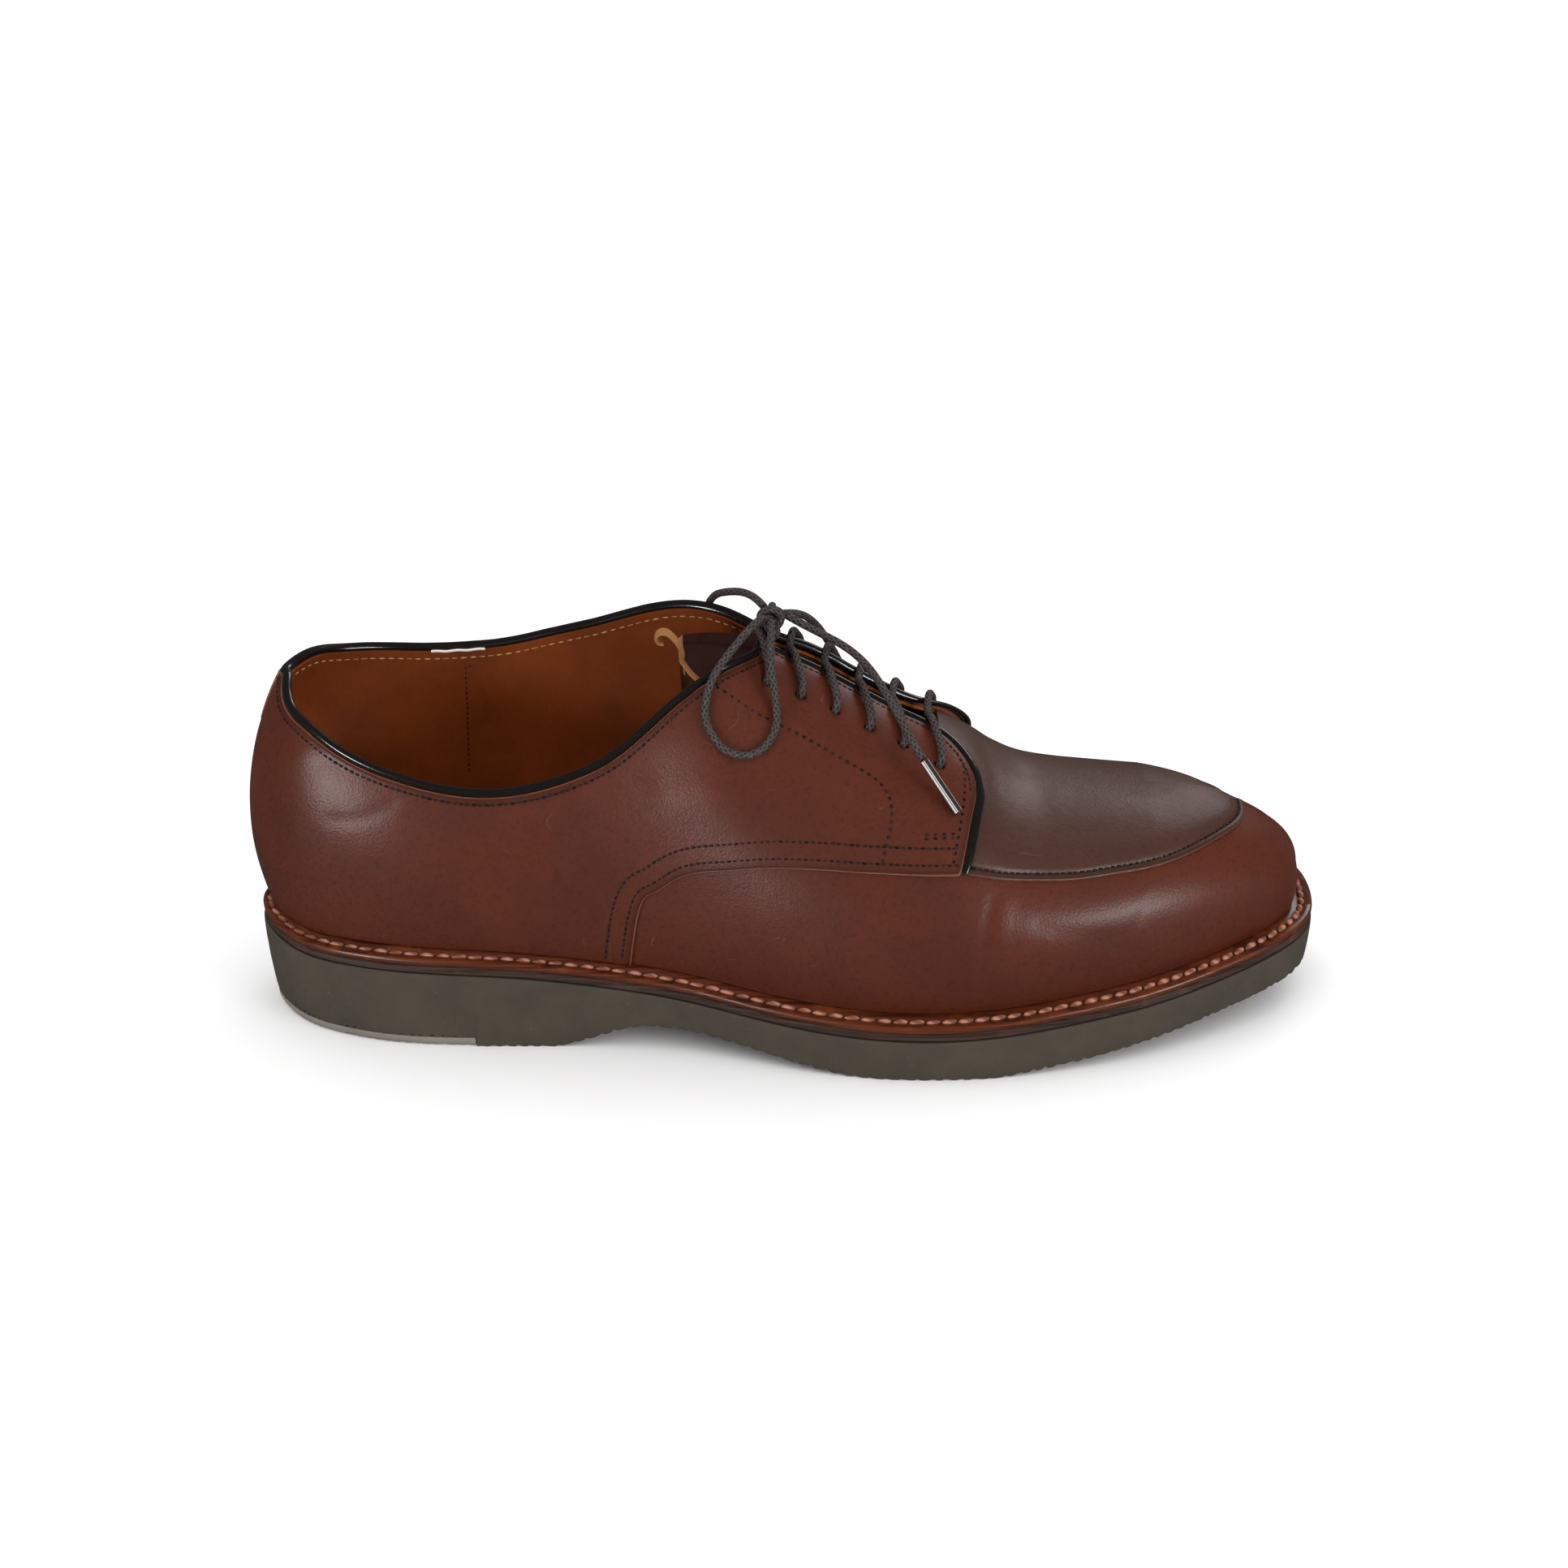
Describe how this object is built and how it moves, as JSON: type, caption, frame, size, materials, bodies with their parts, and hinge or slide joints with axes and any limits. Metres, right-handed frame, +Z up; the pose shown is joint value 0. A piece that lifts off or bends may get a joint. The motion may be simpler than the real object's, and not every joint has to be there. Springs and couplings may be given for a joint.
{
  "type": "apron toe derby shoe",
  "caption": "Right-foot leather derby with an apron toe, split toe seam, bound open facings tied with a bow, storm welt stitching and a cut-away wedge sole of rubber.",
  "frame": {"origin": "on the floor plane under the middle of the heel's rest, on the heel's centre line", "axes": "+X to the toe, +Y to the inner (medial) side, +Z up"},
  "size_m": [0.3157, 0.1115, 0.1231],
  "materials": {
    "upper_leather": "smooth waxed brown hide, soft gloss, darker in the creases and at the edges",
    "tongue_leather": "smooth brown face with a suede back",
    "lining_leather": "tan-orange lining hide, matt",
    "binding_leather": "rolled near-black edge binding, glossy",
    "welt_leather": "stained and waxed welt, glossy",
    "midsole_leather": "dark stained leather edge, worn satin",
    "rubber": "matt dark olive-grey moulded rubber",
    "heel_patch_rubber": "lighter grey matt rubber",
    "lace_cord": "round waxed braided cotton",
    "clear_tip": "clear plastic sleeve over the cord"
  },
  "bodies": {
    "root": {"outsole": "rubber", "heel_patch": "heel_patch_rubber", "midsole": "midsole_leather", "welt": "welt_leather", "insole": "lining_leather", "upper": "upper_leather", "binding": "binding_leather", "tongue": "tongue_leather", "lace_crossing_1": "lace_cord", "lace_crossing_2": "lace_cord", "lace_crossing_3": "lace_cord", "lace_crossing_4": "lace_cord", "lace_crossing_5": "lace_cord", "lace_crossing_6": "lace_cord", "lace_knot": "lace_cord", "lace_loop_near": "lace_cord", "lace_loop_far": "lace_cord", "lace_end_near": "lace_cord", "lace_end_far": "lace_cord", "aglet_near": "clear_tip", "aglet_far": "clear_tip"}
  },
  "joints": []
}
